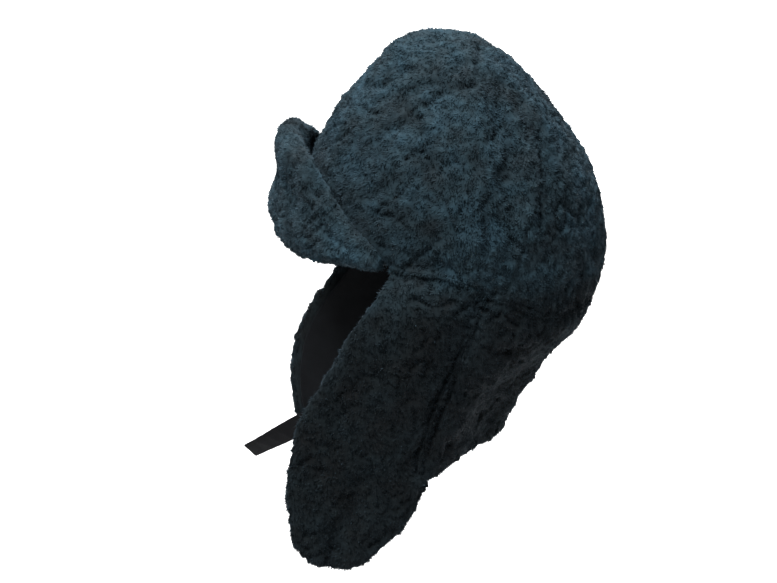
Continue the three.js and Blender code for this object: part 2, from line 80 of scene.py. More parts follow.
# Relief of a skin: height of each layer, size of its lumps and seed of its noise
DRAPE = 0.0018                          # soft folds
DRAPE_SIZE = (0.030, 0.030, 0.070)
DRAPE_SEED = 1
CRUMPLE = 0.0015
CRUMPLE_SIZE = (0.013, 0.013, 0.018)
CRUMPLE_SEED = 2
GRAIN = 0.0005
GRAIN_SIZE = 0.0035
CLUMP = 0.0012                          # clumps of pile
CLUMP_SIZE = 0.0075
CLUMP_LEVEL = 0.6                       # the part of a clump that is left at the skin's own height
CLUMP_CRACK = (0.0, 0.45)
CLUMP_STRAY = 0.0025                    # how far the borders of the clumps stray
CLUMP_STRAY_SIZE = 0.006
CLUMP_STRAY_SEEDS = (21, 22, 23)
WRINKLE = 0.0022                        # fine cracks that run along the lie of the pile
UPRIGHT_SIZE = (0.009, 0.009, 0.034)    # of the cracks behind
UPRIGHT_SEED = 41
SLANTING_SIZE = (0.012, 0.009, 0.034)   # of the cracks at the front
SLANTING_SEED = 42
SLANTING_FROM = (-0.045, 0.0)           # y behind which the cracks are upright
SLANT = 0.7
PATCH_SIZE = 0.028                      # the cracks come in patches
PATCH_SEED = 43
PATCH_EDGE = (-0.15, 0.35)
CRACK_WIDTH = (0.0, 0.16)

# Seams that the fur grows over
BRIDGE_VOXEL = 0.0030
BRIDGE_ROUNDS = 9
BRIDGE_NEAR = 0.0020                    # fully drawn over within this distance of the next piece
BRIDGE_FAR = 0.0110                     # untouched beyond this
BRIDGE_REACH = 0.0060                   # furthest that a point is drawn
BRIDGE_OUTWARD = 0.25                   # least that the joined surface faces away from the head
EDGE_TURN = (0.15, 0.7)                 # how far an edge's face is turned from the joined surface
EDGE_NEAR = 2.0 * BRIDGE_NEAR
SEAM_LAP = 0.0004                       # how far two sewn edges lap over each other
SEAM_COVER = 0.4                        # how much more of the pile's share grows at a sewn edge

# Small shifts of a skin from its solid, seen in the photograph. The front flap's upper edge stands
# away from the crown and is thinner at its back, and its right end hangs down.
VISOR_LEAN = 0.0015
VISOR_THIN = 0.0030
VISOR_UPPER = (0.030, 0.070)            # z
VISOR_SIDES = (0.030, 0.075)            # distance from the middle
VISOR_BACK = (0.0, 0.7)                 # how far a face is turned to the back
VISOR_DROOP = 0.0125
DROOP_UPPER = (0.015, 0.070)            # z
DROOP_RIGHT = (0.018, 0.055)            # distance to the right of the middle
# An ear flap is fuller at its rear edge, between the neck flap and its tip.
REAR_FILL = 0.0095
REAR_FROM = (0.154, 0.177)              # depth below the rim
REAR_TO = (0.212, 0.238)
REAR_EDGE = (-0.090, -0.045)            # y

# Where the fur ends at the plain finish
CROWN_CENTRE = np.array([0.0, 0.0, 0.02])
CROWN_SHARES = np.array([1.0, 1.0, 0.6])
CROWN_OUTSIDE = (-0.004, 0.006)
CROWN_GAP = (0.0006, 0.0016)            # from the front flap
FRONT_FLAP_GAP = (0.0004, 0.0012)       # from the crown
LEAST_FUR = 0.02                        # left where the two meet
NECK_OUTSIDE = (-0.55, -0.15)
NECK_MIDDLE = (0.0, 0.03)
LINING_GAP = (0.0015, 0.0045)
PLAIN_BELOW = 0.01                      # with less fur than this, a face is the plain cloth

# Pile
PILE_LENGTH = 0.0035
PILE_LENGTHS = (0.65, 1.25)             # least and most, as shares of the length
PILE_WIDTH = 0.0012
PILE_WIDTHS = (0.7, 1.3)
PILE_ROOT = 0.0008                      # how far a tuft is rooted below the skin
PILE_LEAN = math.radians(62)            # away from the skin's normal
LEAN_DRIFT = 0.35                       # radians that the lean drifts over the fur
LEAN_DRIFT_SIZE = 0.006
LEAN_SEED = 6
LEAN_SPREAD = 0.15                      # radians that it varies from tuft to tuft
LEAN_LIMITS = (0.4, 1.40)               # least and most, in radians
SWIRL = 2.0                             # radians that the lie of the pile wanders to each side
SWIRL_SIZE = (0.009, 0.009, 0.014)
SWIRL_SEED = 5
SWIRL_SPREAD = 0.6
TINY = 1e-9                             # keeps a division by zero away
TUFT_THICKNESS = 0.6                    # of its foot, as a share of its width
TUFT_FACES = ((0, 1, 2), (0, 3, 1), (1, 3, 2), (2, 3, 0))
TUFT_TIPS = (0.0, 0.0, 0.25, 1.0)       # how near each corner of a tuft is to its tip
LIE_FORWARD_FROM = (-0.05, 0.02)        # y before which the pile lies forward
LIE_FORWARD_ABOVE = (-0.02, 0.03)       # z
LIE_BACK = 0.12
LIE_FORWARD = 0.85
LIE_RAISED = 0.25

# Tone of a tuft from 0, dark, to 1, with painted shade and painted light in it: what each cause adds or
# takes away
TONE_CHANCE = 0.26
# painted shade: tufts paler on a clump and darker in the cracks between clumps
CLUMP_GAP_SHADE = 0.32
TONE_DRIFT = 0.42
TONE_DRIFT_SIZE = (0.012, 0.012, 0.020)
TONE_DRIFT_SEED = 7
# painted shade: tufts darker in the fine cracks
PAINTED_CRACK_SHADE = 0.50
PAINTED_CREASE_SHADE = 180.0                     # painted shade in a crease, for each metre of depth
PAINTED_CONTACT_SHADE = 0.35                     # painted shade where the crown and the front flap meet
FLAP_CONTACT = (0.001, 0.006)           # distance of the flap's fur from the crown
CROWN_CONTACT = (0.002, 0.009)          # distance of the crown's fur from the flap
PAINTED_SHELTER_SHADE = 0.26                     # painted shade on the crown behind the front flap
CROWN_SHELTER = (0.012, 0.058)
PAINTED_VISOR_SHADE = 0.28                       # painted light on the lower part of the front flap, turning to painted shade on the upper part
VISOR_PALE = (0.020, 0.065)
VISOR_MEAN = 0.4
# painted shade: the neck flap darker towards its lower part
PAINTED_NECK_SHADE = 0.40
NECK_DARK = (0.055, 0.095)              # depth below the rim
SKIN_SHADE_SHARE = 0.6                         # the skin's tone as a share of the pile's: painted shade under the pile

rng = np.random.default_rng(26)
SEED_STEP = 17.3            # how far apart two seeds' noises are taken


# Meshes

def link(name, mesh):
    obj = bpy.data.objects.new(name, mesh)
    bpy.context.scene.collection.objects.link(obj)
    return obj


def coordinates(mesh):
    co = np.empty(len(mesh.vertices) * 3)
    mesh.vertices.foreach_get("co", co)
    return co.reshape(-1, 3)


def normals(mesh):
    out = np.empty(len(mesh.vertices) * 3)
    mesh.vertex_normals.foreach_get("vector", out)
    return out.reshape(-1, 3)


def triangles(mesh):
    mesh.calc_loop_triangles()
    out = np.empty(len(mesh.loop_triangles) * 3, np.int32)
    mesh.loop_triangles.foreach_get("vertices", out)
    return out.reshape(-1, 3)


def set_value(mesh, name, values):
    mesh.attributes.new(name, "FLOAT", "POINT").data.foreach_set("value", values)


def move_to(obj, co):
    obj.data.vertices.foreach_set("co", co.reshape(-1))
    obj.data.update()


def welded(nodes):
    """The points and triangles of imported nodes, with their split vertices joined."""
    points, faces, start = [], [], 0
    for name in nodes:
        mesh = frame["nodes"][name].data
        co = coordinates(mesh)
        rounded = np.round(co, WELD_DIGITS)
        _, first, back = np.unique(rounded, axis=0, return_index=True, return_inverse=True)
        tris = back.reshape(-1)[triangles(mesh)]
        whole = (tris[:, 0] != tris[:, 1]) & (tris[:, 1] != tris[:, 2]) & (tris[:, 2] != tris[:, 0])
        points.append(co[first])
        faces.append(tris[whole] + start)
        start += len(first)
    return np.concatenate(points), np.concatenate(faces)


def copy_of(nodes, name):
    points, faces = welded(nodes)
    mesh = bpy.data.meshes.new(name)
    mesh.from_pydata(points.tolist(), [], faces.tolist())
    return link(name, mesh)


def tree_of(points, faces):
    return BVHTree.FromPolygons(points.tolist(), faces.tolist())


def keep_modified(obj):
    """Makes the mesh that the modifiers give the object's own, shaded smooth."""
    graph = bpy.context.evaluated_depsgraph_get()
    mesh = bpy.data.meshes.new_from_object(obj.evaluated_get(graph))
    obj.modifiers.clear()
    obj.data = mesh
    mesh.polygons.foreach_set("use_smooth", np.ones(len(mesh.polygons), bool))


def remesh(obj, voxel, rounds):
    """An even mesh of the same form, with the facets smoothed away."""
    block = obj.modifiers.new("remesh", "REMESH")
    block.mode = "VOXEL"
    block.voxel_size = voxel
    smooth = obj.modifiers.new("smooth", "SMOOTH")
    smooth.factor = SMOOTH_FACTOR
    smooth.iterations = rounds
    keep_modified(obj)


def smoothstep(low, high, value):
    t = np.clip((value - low) / (high - low), 0.0, 1.0)
    return t * t * (3.0 - 2.0 * t)


def noise_at(points, size, seed):
    """Smooth noise from about -1 to 1 at each point. size is the size of its lumps in metres."""
    moved = points / np.asarray(size) + seed * SEED_STEP
    return np.fromiter((noise.noise(p) for p in moved.tolist()), float, len(moved))


def stray_at(points, size, seeds):
    """A different noise along each axis, one for each seed."""
    return np.stack([noise_at(points, size, seed) for seed in seeds], axis=1)


def clumps_at(points):
    """1 in the middle of a clump of pile, falling to 0 in the cracks between clumps."""
    moved = points + CLUMP_STRAY * stray_at(points, CLUMP_STRAY_SIZE, CLUMP_STRAY_SEEDS)
    moved /= CLUMP_SIZE
    near = np.empty(len(moved))
    for i, p in enumerate(moved.tolist()):
        distances = noise.voronoi(p)[0]
        near[i] = distances[1] - distances[0]
    return smoothstep(*CLUMP_CRACK, near)


def distances_to(tree, points):
    return np.fromiter((tree.find_nearest(p)[3] for p in points.tolist()), float, len(points))


# Creases that show in the photograph. A route holds (y, z) points in millimetres on the wearer's
# left, width is half the width and deep the depth. A negative depth is a ridge.
CREASES = [
    # Top of the crown
    {"route": [(-64, 108), (-50, 118), (-35, 125)], "width": 2.6, "deep": 2.0},
    {"route": [(-24, 108), (-9, 116), (7, 119)], "width": 2.6, "deep": 2.4},
    {"route": [(10, 130), (17, 137)], "width": 2.6, "deep": 2.0},
    {"route": [(-68, 76), (-51, 90), (-28, 100)], "width": 2.6, "deep": 1.4},
    {"route": [(-65, 47), (-45, 63), (-22, 72)], "width": 3.0, "deep": 1.2},
    {"route": [(-55, 78), (-28, 72), (0, 72)], "width": 22.0, "deep": 0.9},
    # Side and back of the crown
    {"route": [(25, 117), (28, 97), (31, 79), (28, 60)], "width": 4.0, "deep": 1.4},
    {"route": [(54, 88), (55, 47), (56, 4)], "width": 3.2, "deep": 1.4},
    {"route": [(14, 54), (15, 37), (14, 18)], "width": 2.6, "deep": 1.8},
    {"route": [(8, 24), (9, -8)], "width": 4.5, "deep": -1.2},
    {"route": [(46, 54), (47, 26)], "width": 4.5, "deep": -1.2},
    # Where the ear flap leaves the crown
    {"route": [(-46, -3), (-34, -6), (-20, -9), (-8, -12)], "width": 4.4, "deep": 0.4},
    {"route": [(-32, -16), (-20, -22), (-6, -19)], "width": 2.2, "deep": 1.8},
    {"route": [(-2, -28), (9, -22), (19, -30)], "width": 2.2, "deep": 1.8},
    {"route": [(20, -39), (29, -31), (38, -41)], "width": 2.2, "deep": 1.8},
    # Flaps
    {"route": [(-2, -65), (-10, -99), (-15, -119), (-20, -140)], "width": 4.0, "deep": 1.5},
    {"route": [(-70, -166), (-74, -175), (-80, -189), (-89, -205), (-93, -240)],
     "width": 6.0, "deep": 2.0},
    {"route": [(-60, -60), (-78, -95), (-90, -130)], "width": 6.0, "deep": 1.2},
    {"route": [(60, -74), (43, -67), (20, -60)], "width": 4.0, "deep": 1.6},
    {"route": [(40, -110), (20, -104), (2, -100)], "width": 5.0, "deep": 1.2},
]
RIGHT_SHIFT = np.array([9.0, -7.0])     # the right side creases a little elsewhere
CREASE_STRENGTH = 1.3
CREASE_WANDER = 3.0                     # millimetres that a crease strays from its route
CREASE_WANDER_SIZE = 0.012
CREASE_WANDER_SEEDS = (31, 32)
CREASE_UNEVEN = 0.9                     # how much its depth varies along it
CREASE_UNEVEN_SIZE = 0.015
CREASE_UNEVEN_SEED = 33
CREASE_MIDDLE = (0.005, 0.020)          # distance from the middle, where the two sides' creases fade
MILLIMETRES = 1000.0


def crease_depth(points):
    """How far each point is pressed in by the creases, in metres."""
    depth = np.zeros(len(points))
    flat = points[:, 1:3] * MILLIMETRES - RIGHT_SHIFT * (points[:, :1] < 0.0)
    flat += CREASE_WANDER * stray_at(points, CREASE_WANDER_SIZE, CREASE_WANDER_SEEDS)
    for crease in CREASES:
        route = [np.array(p, float) for p in crease["route"]]
        nearest = np.full(len(points), np.inf)
        for a, b in zip(route[:-1], route[1:]):
            t = np.clip(((flat - a) @ (b - a)) / ((b - a) @ (b - a)), 0.0, 1.0)
            nearest = np.minimum(nearest, np.linalg.norm(flat - a - t[:, None] * (b - a), axis=1))
        depth += crease["deep"] * np.exp(-((nearest / crease["width"]) ** 2))
    depth *= 1.0 + CREASE_UNEVEN * noise_at(points, CREASE_UNEVEN_SIZE, CREASE_UNEVEN_SEED)
    return CREASE_STRENGTH * depth / MILLIMETRES * smoothstep(*CREASE_MIDDLE, np.abs(points[:, 0]))


# Where the fur grows. Each function gives 1 on fur and 0 on the plain finish inside the cap.

TREES = {name: tree_of(*welded([name])) for name in frame["nodes"]}


def crown_fur(co, normal):
    outward = ((co - CROWN_CENTRE) * CROWN_SHARES * normal).sum(axis=1)
    clear = smoothstep(*CROWN_GAP, distances_to(TREES["front_flap"], co))
    return smoothstep(*CROWN_OUTSIDE, outward) * np.maximum(clear, LEAST_FUR)


def front_flap_fur(co, normal):
    clear = smoothstep(*FRONT_FLAP_GAP, distances_to(TREES["crown"], co))
    return np.maximum(clear, LEAST_FUR)


def neck_fur(co, normal):
    aside = normal[:, 0] * np.sign(co[:, 0]) * smoothstep(*NECK_MIDDLE, np.abs(co[:, 0]))
    return smoothstep(*NECK_OUTSIDE, aside + normal[:, 1])


def ear_fur(side):
    tree = TREES[f"ear_lining_{side}"]
    return lambda co, normal: smoothstep(*LINING_GAP, distances_to(tree, co))


# Sewn seams

SEWN = {
    "crown": ["neck_flap", "ear_flap_left", "ear_flap_right"],
    "neck_flap": ["crown", "ear_flap_left", "ear_flap_right"],
    "ear_flap_left": ["crown", "neck_flap"],
    "ear_flap_right": ["crown", "neck_flap"],
}
joined = copy_of(list(SEWN), "joined")
remesh(joined, BRIDGE_VOXEL, BRIDGE_ROUNDS)
joined_tree = tree_of(coordinates(joined.data), triangles(joined.data))
bpy.data.objects.remove(joined)


def bridge(node, co, normal):
    """Draws the outside of a skin near a sewn seam onto one surface that runs over both pieces.
    Gives, for each point, how much it belongs to the edge that is sewn to the next piece."""
    near = np.min([distances_to(TREES[other], co) for other in SEWN[node]], axis=0)
    pull = 1.0 - smoothstep(BRIDGE_NEAR, BRIDGE_FAR, near)
    edge = np.zeros(len(co))
    for i in np.flatnonzero(pull > 0.0):
        point, facing, _, distance = joined_tree.find_nearest(co[i].tolist())
        radial = Vector((point.x, point.y, 0.0)).normalized()
        edge[i] = smoothstep(*EDGE_TURN, 1.0 - facing.dot(normal[i])) * (near[i] < EDGE_NEAR)
        if distance < BRIDGE_REACH and facing.dot(radial) > BRIDGE_OUTWARD:
            co[i] += pull[i] * (np.array(point) - co[i])
    return edge


def shape_front_flap(co, normal):
    """Stands the upper edge of the front flap off the crown, thins it, and lets its right droop."""
    upper = smoothstep(*VISOR_UPPER, co[:, 2]) * (1.0 - smoothstep(*VISOR_SIDES, np.abs(co[:, 0])))
    co[:, 1] -= upper * (VISOR_LEAN + VISOR_THIN * smoothstep(*VISOR_BACK, normal[:, 1]))
    co[:, 2] -= VISOR_DROOP * smoothstep(*DROOP_UPPER, co[:, 2]) * smoothstep(*DROOP_RIGHT, -co[:, 0])


def shape_ear_flap(co):
    """Fills out the rear edge of an ear flap between the neck flap and the tip."""
    below = smoothstep(*REAR_FROM, -co[:, 2]) * (1.0 - smoothstep(*REAR_TO, -co[:, 2]))
    co[:, 1] += REAR_FILL * below * smoothstep(*REAR_EDGE, co[:, 1])


def wrinkles(co):
    """Fine cracks from 0 to 1, in patches: upright behind, slanting forward at the front."""
    x, y, z = co.T
    turned = np.stack([x, (y - z) * SLANT, (y + z) * SLANT], axis=1)
    upright = noise_at(co, UPRIGHT_SIZE, UPRIGHT_SEED)
    slanting = noise_at(turned, SLANTING_SIZE, SLANTING_SEED)
    front = 1.0 - smoothstep(*SLANTING_FROM, y)
    line = upright + (slanting - upright) * front
    patch = smoothstep(*PATCH_EDGE, noise_at(co, PATCH_SIZE, PATCH_SEED))
    return (1.0 - smoothstep(*CRACK_WIDTH, np.abs(line))) * patch


def sculpt(skin, node, furry, grain_seed):
    """Draws a skin over its seams, sinks it under the pile, and folds, creases and clumps it.
    Gives how much fur grows at each point, which is most at a sewn edge, to hide the seam."""
    co, normal = coordinates(skin.data), normals(skin.data)
    weight = furry(co, normal)
    edge = np.zeros(len(co))
    if node in SEWN:
        edge = bridge(node, co, normal)
    if node == "front_flap":
        shape_front_flap(co, normal)
    if node.startswith("ear_flap"):
        shape_ear_flap(co)
    move_to(skin, co)
    normal = normals(skin.data)
    out = DRAPE * noise_at(co, DRAPE_SIZE, DRAPE_SEED)
    out += CRUMPLE * noise_at(co, CRUMPLE_SIZE, CRUMPLE_SEED)
    out += CLUMP * (clumps_at(co) - CLUMP_LEVEL) + GRAIN * noise_at(co, GRAIN_SIZE, grain_seed)
    out -= SKIN_SINK + WRINKLE * wrinkles(co)
    if node != "front_flap":
        out -= crease_depth(co)
    out = out * weight * (1.0 - edge) + SEAM_LAP * edge
    move_to(skin, co + normal * out[:, None])
    return weight * ((1.0 - SEAM_COVER) + SEAM_COVER * edge)


# Pile

def lie_of_pile(root):
    """The way the pile lies: down and forward at the front of the crown, straight down behind."""
    front = 1.0 - smoothstep(*LIE_FORWARD_FROM, root[:, 1])
    above = smoothstep(*LIE_FORWARD_ABOVE, root[:, 2])
    forward = front * above
    y, z = LIE_BACK - LIE_FORWARD * forward, -1.0 + LIE_RAISED * forward
    return np.stack([np.zeros(len(root)), y, z], axis=1)


def tone_and_shade_at(root, node):
    """How pale a tuft is from 0 to 1: its own tone, which differs at random and drifts, with painted
    shade that makes it paler on a clump and darker in a crack, a crease, where the crown and the front
    flap meet, in the shelter of the front flap, on the upper front flap and on the neck flap, and
    painted light on the lower front flap."""
    drift = 0.5 + 0.5 * noise_at(root, TONE_DRIFT_SIZE, TONE_DRIFT_SEED)
    # painted shade in the cracks between clumps
    tone_and_shade = TONE_CHANCE * rng.random(len(root)) + CLUMP_GAP_SHADE * clumps_at(root)
    # painted shade in the fine cracks
    tone_and_shade += TONE_DRIFT * drift - PAINTED_CRACK_SHADE * wrinkles(root)
    if node == "front_flap":
        from_crown = distances_to(TREES["crown"], root)
        # painted shade on the front flap where it meets the crown
        tone_and_shade -= PAINTED_CONTACT_SHADE * (1.0 - smoothstep(*FLAP_CONTACT, from_crown))
        # painted light on the lower and painted shade on the upper front flap
        tone_and_shade -= PAINTED_VISOR_SHADE * (smoothstep(*VISOR_PALE, root[:, 2]) - VISOR_MEAN)
    else:
        # painted shade in the creases
        tone_and_shade -= PAINTED_CREASE_SHADE * np.maximum(crease_depth(root), 0.0)
    if node == "crown":
        from_flap = distances_to(TREES["front_flap"], root)
        # painted shade on the crown where it meets the front flap
        tone_and_shade -= PAINTED_CONTACT_SHADE * (1.0 - smoothstep(*CROWN_CONTACT, from_flap))
        # painted shade on the crown behind the front flap
        tone_and_shade -= PAINTED_SHELTER_SHADE * (1.0 - smoothstep(*CROWN_SHELTER, from_flap))
    if node == "neck_flap":
        # painted shade on the lower neck flap
        tone_and_shade -= PAINTED_NECK_SHADE * smoothstep(*NECK_DARK, -root[:, 2])
    return np.clip(tone_and_shade, 0.0, 1.0)


def pile(name, skin, weight, node, count, half=0):
    """Tufts of pile scattered over the furry part of a skin. Each is one closed slim spike. half
    is 1 or -1 to cover only the wearer's left or right side."""
    co, normal = coordinates(skin.data), normals(skin.data)
    tris = triangles(skin.data)
    corners = co[tris]
    first, second, third = corners.transpose(1, 0, 2)
    area = np.linalg.norm(np.cross(second - first, third - first), axis=1)
    chance = area * np.clip(weight[tris].min(axis=1), 0.0, 1.0)
    if half:
        chance *= corners[:, :, 0].mean(axis=1) * half > 0.0
    chosen = rng.choice(len(tris), size=count, p=chance / chance.sum())
    u, v = rng.random(count), rng.random(count)
    flip = u + v > 1.0
    u[flip], v[flip] = 1.0 - u[flip], 1.0 - v[flip]
    share = np.stack([1.0 - u - v, u, v], axis=1)[:, :, None]
    root = (corners[chosen] * share).sum(axis=1)
    up = (normal[tris[chosen]] * share).sum(axis=1)
    up /= np.linalg.norm(up, axis=1)[:, None]

    flow = lie_of_pile(root)
    along = flow - up * (up * flow).sum(axis=1)[:, None]
    along /= np.linalg.norm(along, axis=1)[:, None] + TINY
    side = np.cross(up, along)
    turn = SWIRL * noise_at(root, SWIRL_SIZE, SWIRL_SEED) + rng.normal(0.0, SWIRL_SPREAD, count)
    lean = PILE_LEAN + LEAN_DRIFT * noise_at(root, LEAN_DRIFT_SIZE, LEAN_SEED)
    lean = np.clip(lean + rng.normal(0.0, LEAN_SPREAD, count), *LEAN_LIMITS)[:, None]
    level = along * np.cos(turn)[:, None] + side * np.sin(turn)[:, None]
    across = np.cross(up, level)
    length = (PILE_LENGTH * rng.uniform(*PILE_LENGTHS, count))[:, None]
    width = (PILE_WIDTH * rng.uniform(*PILE_WIDTHS, count))[:, None]
    base = root - up * PILE_ROOT
    spike = np.stack([
        base + across * width / 2,
        base - across * width / 2,
        base + up * width * TUFT_THICKNESS + level * width / 2,
        base + (up * np.cos(lean) + level * np.sin(lean)) * length,
    ], axis=1)
    start = np.arange(count) * len(TUFT_TIPS)
    faces = (start[:, None, None] + np.asarray(TUFT_FACES)[None]).reshape(-1, 3)
    mesh = bpy.data.meshes.new(name)
    mesh.vertices.add(count * len(TUFT_TIPS))
    mesh.loops.add(faces.size)
    mesh.polygons.add(len(faces))
    mesh.vertices.foreach_set("co", spike.reshape(-1))
    mesh.loops.foreach_set("vertex_index", faces.reshape(-1))
    mesh.polygons.foreach_set("loop_start", np.arange(len(faces)) * 3)
    mesh.update(calc_edges=True)
    set_value(mesh, "tone_and_shade", np.repeat(tone_and_shade_at(root, node), len(TUFT_TIPS)))
    set_value(mesh, "tip", np.tile(TUFT_TIPS, count))
    return link(name, mesh)


# Materials. A stop of a ramp is its place and its colour. The colours of all ramps are multiplied.

def grey(value):
    return (value, value, value)


DRIFT_SCALE = 38.0
FUR_TINTS = [
    (0.32, (0.023, 0.035, 0.042)),
    (0.50, (0.025, 0.049, 0.063)),
    (0.68, (0.031, 0.067, 0.092)),
]
GRAIN_SCALE = 260.0
GRAIN_TINTS = [(0.30, grey(0.75)), (0.70, grey(1.2))]
TONE_AND_SHADE_TINTS = [(0.0, grey(0.42)), (0.5, grey(0.85)), (1.0, grey(1.55))]
# painted shade: each tuft darker at its root than at its tip
ROOT_SHADE_TINTS = [(0.0, grey(0.68)), (1.0, grey(1.12))]
DARK_BELOW = -0.042             # painted shade: the flaps below the rim are darker and less blue than the crown
PALE_ABOVE = 0.006
HEIGHT_TINTS = [(0.0, (0.35, 0.27, 0.24)), (1.0, grey(1.0))]
FUR_BUMP = 0.001
CLOTH_BUMP = 0.0003
BUMP_STRENGTH = 0.6
SHADE_SCALE = 60.0
WAVE_RATE = 20.0                # a wave's radians for each metre, at a scale of 1
WAVE_DISTORTION = 0.6


def new_material(name, roughness, specular=0.25):
    material = bpy.data.materials.new(name)
    material.use_nodes = True
    tree = material.node_tree
    shader = tree.nodes["Principled BSDF"]
    shader.inputs["Roughness"].default_value = roughness
    shader.inputs["Specular IOR Level"].default_value = specular
    return material, tree, shader


def set_sheen(shader, weight, roughness, tint):
    shader.inputs["Sheen Weight"].default_value = weight
    shader.inputs["Sheen Roughness"].default_value = roughness
    shader.inputs["Sheen Tint"].default_value = (*tint, 1.0)


def add_noise(tree, coords, scale, detail):
    texture = tree.nodes.new("ShaderNodeTexNoise")
    texture.inputs["Scale"].default_value = scale
    texture.inputs["Detail"].default_value = detail
    tree.links.new(coords.outputs["Object"], texture.inputs["Vector"])
    return texture.outputs["Fac"]


def add_attribute(tree, name):
    node = tree.nodes.new("ShaderNodeAttribute")
    node.attribute_name = name
    return node.outputs["Fac"]


def add_ramp(tree, source, stops):
    ramp = tree.nodes.new("ShaderNodeValToRGB")
    elements = ramp.color_ramp.elements
    while len(elements) < len(stops):
        elements.new(0.5)
    for element, (position, colour) in zip(elements, stops):
        element.position = position
        element.color = (*colour, 1.0)
    tree.links.new(source, ramp.inputs["Fac"])
    return ramp.outputs["Color"]


def multiply(tree, *colours):
    """The product of colour sockets."""
    product = colours[0]
    for colour in colours[1:]:
        mix = tree.nodes.new("ShaderNodeMix")
        mix.data_type = "RGBA"
        mix.blend_type = "MULTIPLY"
        mix.inputs["Factor"].default_value = 1.0
        tree.links.new(product, mix.inputs["A"])
        tree.links.new(colour, mix.inputs["B"])
        product = mix.outputs["Result"]
    return product


def add_bump(tree, shader, height, distance):
    bump = tree.nodes.new("ShaderNodeBump")
    bump.inputs["Strength"].default_value = BUMP_STRENGTH
    bump.inputs["Distance"].default_value = distance
    tree.links.new(height, bump.inputs["Height"])
    tree.links.new(bump.outputs["Normal"], shader.inputs["Normal"])


def add_height(tree, coords, low, high):
    """0 below the height low, 1 above the height high."""
    split = tree.nodes.new("ShaderNodeSeparateXYZ")
    tree.links.new(coords.outputs["Object"], split.inputs["Vector"])
    height = tree.nodes.new("ShaderNodeMapRange")
    height.interpolation_type = "SMOOTHSTEP"
    height.inputs["From Min"].default_value = low
    height.inputs["From Max"].default_value = high
    tree.links.new(split.outputs["Z"], height.inputs["Value"])
    return height.outputs["Result"]


def fur_material(name, tufted):
    """Blue-black pile: tints drift over it, each tuft has its own tone with painted shade and light in
    it, and is darker at the root as painted shade.
    """
    material, tree, shader = new_material(name, roughness=0.85, specular=0.12)
    set_sheen(shader, weight=0.08, roughness=0.5, tint=(0.50, 0.78, 1.0))
    coords = tree.nodes.new("ShaderNodeTexCoord")
    drift = add_ramp(tree, add_noise(tree, coords, DRIFT_SCALE, detail=4.0), FUR_TINTS)
    grain = add_noise(tree, coords, GRAIN_SCALE, detail=2.0)
    speckle = add_ramp(tree, grain, GRAIN_TINTS)
    # tone of each tuft, with painted shade and painted light in it
    tone_and_shade = add_ramp(tree, add_attribute(tree, "tone_and_shade"), TONE_AND_SHADE_TINTS)
    # painted shade on the flaps below the rim
    painted_low_shade = add_ramp(tree, add_height(tree, coords, DARK_BELOW, PALE_ABOVE), HEIGHT_TINTS)
    if tufted:
        # painted shade: each tuft darker at its root
        depth = add_ramp(tree, add_attribute(tree, "tip"), ROOT_SHADE_TINTS)
        colour = multiply(tree, drift, speckle, tone_and_shade, painted_low_shade, depth)
    else:
        colour = multiply(tree, drift, speckle, tone_and_shade, painted_low_shade)
        add_bump(tree, shader, grain, FUR_BUMP)
    tree.links.new(colour, shader.inputs["Base Color"])
    return material


def woven_material(name, dark, light, thread, roughness):
    """A plain weave: two crossed sets of threads, with a slow drift of tone."""
    material, tree, shader = new_material(name, roughness, specular=0.10)
    set_sheen(shader, weight=0.03, roughness=0.4, tint=(0.7, 0.85, 1.0))
    coords = tree.nodes.new("ShaderNodeTexCoord")
    weave = tree.nodes.new("ShaderNodeMath")
    weave.operation = "MULTIPLY"
    for socket, axis in zip(weave.inputs, ("Y", "Z")):
        wave = tree.nodes.new("ShaderNodeTexWave")
        wave.bands_direction = axis
        wave.inputs["Scale"].default_value = math.tau / (WAVE_RATE * thread)
        wave.inputs["Distortion"].default_value = WAVE_DISTORTION
        tree.links.new(coords.outputs["Object"], wave.inputs["Vector"])
        tree.links.new(wave.outputs["Fac"], socket)
    cloth = add_ramp(tree, weave.outputs["Value"], [(0.0, dark), (1.0, light)])
    shade = add_ramp(tree, add_noise(tree, coords, SHADE_SCALE, detail=4.0), GRAIN_TINTS)
    tree.links.new(multiply(tree, cloth, shade), shader.inputs["Base Color"])
    add_bump(tree, shader, weave.outputs["Value"], CLOTH_BUMP)
    return material


fur_skin = fur_material("fur_skin", tufted=False)
fur_pile = fur_material("fur_pile", tufted=True)
lining_cloth = woven_material("lining_cloth", dark=(0.004, 0.0045, 0.0055), light=(0.010, 0.012, 0.015),
                              thread=0.0007, roughness=0.8)
tape_cloth = woven_material("tape_cloth", dark=(0.004, 0.004, 0.005), light=(0.011, 0.012, 0.014),
                            thread=0.0009, roughness=0.7)


# Fur pieces

def fur_piece(node, furry, piles):
    """One skin, and one coat of pile for each (name, count, half) in piles."""
    skin = copy_of([node], node + "_skin")
    remesh(skin, VOXEL, SMOOTH_ROUNDS)
    grain_seed = len(bpy.data.objects)      # differs from piece to piece
    weight = sculpt(skin, node, furry, grain_seed)
    skin.data.materials.append(fur_skin)
    skin.data.materials.append(lining_cloth)
    plain = furry(coordinates(skin.data), normals(skin.data)) < PLAIN_BELOW
    index = np.array([plain[list(face.vertices)].all() for face in skin.data.polygons], np.int32)
    skin.data.polygons.foreach_set("material_index", index)
    # the skin's tone, darkened as painted shade under the pile
    set_value(skin.data, "tone_and_shade", SKIN_SHADE_SHARE * tone_and_shade_at(coordinates(skin.data), node))
    pieces = [skin]
    for name, count, half in piles:
        coat = pile(name, skin, weight, node, count, half)
        coat.data.materials.append(fur_pile)
        pieces.append(coat)
    for piece in pieces:
        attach(piece, "root")
        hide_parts(node)
    return skin


